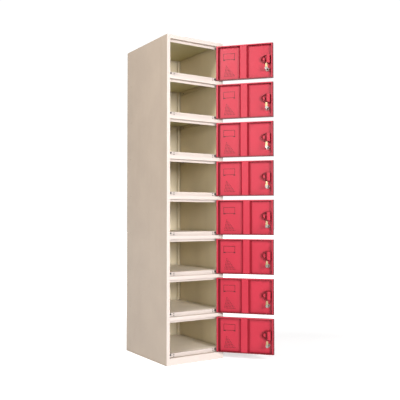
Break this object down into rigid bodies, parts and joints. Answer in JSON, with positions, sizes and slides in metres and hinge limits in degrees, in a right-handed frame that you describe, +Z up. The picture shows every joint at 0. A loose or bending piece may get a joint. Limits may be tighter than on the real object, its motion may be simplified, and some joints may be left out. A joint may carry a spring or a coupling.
{
  "type": "coin operated locker",
  "caption": "Tall narrow steel locker column, shelf compartments one above the other, each with a hinged flush door carrying a coin lock, cam and key.",
  "frame": {"origin": "centre of the cabinet's footprint, on the floor", "axes": "+Z up, -Y out of the front, +X to the right seen from the front; doors stored open"},
  "size_m": [0.5687, 0.7512, 1.85],
  "materials": {
    "cabinet_paint": "fine textured powder coat, warm off-white",
    "door_paint": "fine textured powder coat, red",
    "lock_paint": "red paint on the case, bright chrome on the barrel and nut",
    "cam_plating": "yellow zinc plating, chrome screw",
    "key_nickel": "nickel plate",
    "steel": "dull zinc",
    "rubber": "matt black",
    "nylon": "natural nylon"
  },
  "bodies": {
    "cabinet": {"left_side_panel": "cabinet_paint", "right_side_panel": "cabinet_paint", "back_panel": "cabinet_paint", "top_panel": "cabinet_paint", "base_frame": "cabinet_paint", "floor_panel": "cabinet_paint", "shelf_1": "cabinet_paint", "shelf_2": "cabinet_paint", "shelf_3": "cabinet_paint", "shelf_4": "cabinet_paint", "shelf_5": "cabinet_paint", "shelf_6": "cabinet_paint", "shelf_7": "cabinet_paint", "cross_rails": "cabinet_paint", "shelf_rivets": "steel", "door_buffers": "rubber", "pivot_pins": "steel", "pivot_washers": "nylon"},
    "door_1": {"door_panel_1": "door_paint", "door_stiffener_1": "door_paint", "coin_lock_1": "lock_paint"},
    "lock_1": {"lock_cam_1": "cam_plating"},
    "key_body_1": {"key_1": "key_nickel"},
    "door_2": {"door_panel_2": "door_paint", "door_stiffener_2": "door_paint", "coin_lock_2": "lock_paint"},
    "lock_2": {"lock_cam_2": "cam_plating"},
    "key_body_2": {"key_2": "key_nickel"},
    "door_3": {"door_panel_3": "door_paint", "door_stiffener_3": "door_paint", "coin_lock_3": "lock_paint"},
    "lock_3": {"lock_cam_3": "cam_plating"},
    "key_body_3": {"key_3": "key_nickel"},
    "door_4": {"door_panel_4": "door_paint", "door_stiffener_4": "door_paint", "coin_lock_4": "lock_paint"},
    "lock_4": {"lock_cam_4": "cam_plating"},
    "key_body_4": {"key_4": "key_nickel"},
    "door_5": {"door_panel_5": "door_paint", "door_stiffener_5": "door_paint", "coin_lock_5": "lock_paint"},
    "lock_5": {"lock_cam_5": "cam_plating"},
    "key_body_5": {"key_5": "key_nickel"},
    "door_6": {"door_panel_6": "door_paint", "door_stiffener_6": "door_paint", "coin_lock_6": "lock_paint"},
    "lock_6": {"lock_cam_6": "cam_plating"},
    "key_body_6": {"key_6": "key_nickel"},
    "door_7": {"door_panel_7": "door_paint", "door_stiffener_7": "door_paint", "coin_lock_7": "lock_paint"},
    "lock_7": {"lock_cam_7": "cam_plating"},
    "key_body_7": {"key_7": "key_nickel"},
    "door_8": {"door_panel_8": "door_paint", "door_stiffener_8": "door_paint", "coin_lock_8": "lock_paint"},
    "lock_8": {"lock_cam_8": "cam_plating"},
    "key_body_8": {"key_8": "key_nickel"}
  },
  "joints": [
    {"name": "door_hinge_1", "type": "hinge", "parent": "cabinet", "child": "door_1", "pos_m": [0.1595, -0.246, 1.725], "axis": [0, 0, 1], "range_deg": [-131.4, 2.6]},
    {"name": "lock_turn_1", "type": "hinge", "parent": "door_1", "child": "lock_1", "pos_m": [0.3556, -0.46239, 1.675], "axis": [0.7501, 0.6613, 0], "range_deg": [0, 90]},
    {"name": "key_pull_1", "type": "slide", "parent": "lock_1", "child": "key_body_1", "axis": [0.7501, 0.6613, 0], "range_m": [0, 0.03]},
    {"name": "door_hinge_2", "type": "hinge", "parent": "cabinet", "child": "door_2", "pos_m": [0.1595, -0.246, 1.499], "axis": [0, 0, 1], "range_deg": [-131.4, 2.6]},
    {"name": "lock_turn_2", "type": "hinge", "parent": "door_2", "child": "lock_2", "pos_m": [0.3556, -0.46239, 1.449], "axis": [0.7501, 0.6613, 0], "range_deg": [0, 90]},
    {"name": "key_pull_2", "type": "slide", "parent": "lock_2", "child": "key_body_2", "axis": [0.7501, 0.6613, 0], "range_m": [0, 0.03]},
    {"name": "door_hinge_3", "type": "hinge", "parent": "cabinet", "child": "door_3", "pos_m": [0.1595, -0.246, 1.273], "axis": [0, 0, 1], "range_deg": [-131.4, 2.6]},
    {"name": "lock_turn_3", "type": "hinge", "parent": "door_3", "child": "lock_3", "pos_m": [0.3556, -0.46239, 1.223], "axis": [0.7501, 0.6613, 0], "range_deg": [0, 90]},
    {"name": "key_pull_3", "type": "slide", "parent": "lock_3", "child": "key_body_3", "axis": [0.7501, 0.6613, 0], "range_m": [0, 0.03]},
    {"name": "door_hinge_4", "type": "hinge", "parent": "cabinet", "child": "door_4", "pos_m": [0.1595, -0.246, 1.047], "axis": [0, 0, 1], "range_deg": [-131.4, 2.6]},
    {"name": "lock_turn_4", "type": "hinge", "parent": "door_4", "child": "lock_4", "pos_m": [0.3556, -0.46239, 0.997], "axis": [0.7501, 0.6613, 0], "range_deg": [0, 90]},
    {"name": "key_pull_4", "type": "slide", "parent": "lock_4", "child": "key_body_4", "axis": [0.7501, 0.6613, 0], "range_m": [0, 0.03]},
    {"name": "door_hinge_5", "type": "hinge", "parent": "cabinet", "child": "door_5", "pos_m": [0.1595, -0.246, 0.821], "axis": [0, 0, 1], "range_deg": [-131.4, 2.6]},
    {"name": "lock_turn_5", "type": "hinge", "parent": "door_5", "child": "lock_5", "pos_m": [0.3556, -0.46239, 0.771], "axis": [0.7501, 0.6613, 0], "range_deg": [0, 90]},
    {"name": "key_pull_5", "type": "slide", "parent": "lock_5", "child": "key_body_5", "axis": [0.7501, 0.6613, 0], "range_m": [0, 0.03]},
    {"name": "door_hinge_6", "type": "hinge", "parent": "cabinet", "child": "door_6", "pos_m": [0.1595, -0.246, 0.595], "axis": [0, 0, 1], "range_deg": [-131.4, 2.6]},
    {"name": "lock_turn_6", "type": "hinge", "parent": "door_6", "child": "lock_6", "pos_m": [0.3556, -0.46239, 0.545], "axis": [0.7501, 0.6613, 0], "range_deg": [0, 90]},
    {"name": "key_pull_6", "type": "slide", "parent": "lock_6", "child": "key_body_6", "axis": [0.7501, 0.6613, 0], "range_m": [0, 0.03]},
    {"name": "door_hinge_7", "type": "hinge", "parent": "cabinet", "child": "door_7", "pos_m": [0.1595, -0.246, 0.369], "axis": [0, 0, 1], "range_deg": [-131.4, 2.6]},
    {"name": "lock_turn_7", "type": "hinge", "parent": "door_7", "child": "lock_7", "pos_m": [0.3556, -0.46239, 0.319], "axis": [0.7501, 0.6613, 0], "range_deg": [0, 90]},
    {"name": "key_pull_7", "type": "slide", "parent": "lock_7", "child": "key_body_7", "axis": [0.7501, 0.6613, 0], "range_m": [0, 0.03]},
    {"name": "door_hinge_8", "type": "hinge", "parent": "cabinet", "child": "door_8", "pos_m": [0.1595, -0.246, 0.143], "axis": [0, 0, 1], "range_deg": [-131.4, 2.6]},
    {"name": "lock_turn_8", "type": "hinge", "parent": "door_8", "child": "lock_8", "pos_m": [0.3556, -0.46239, 0.093], "axis": [0.7501, 0.6613, 0], "range_deg": [0, 90]},
    {"name": "key_pull_8", "type": "slide", "parent": "lock_8", "child": "key_body_8", "axis": [0.7501, 0.6613, 0], "range_m": [0, 0.03]}
  ]
}
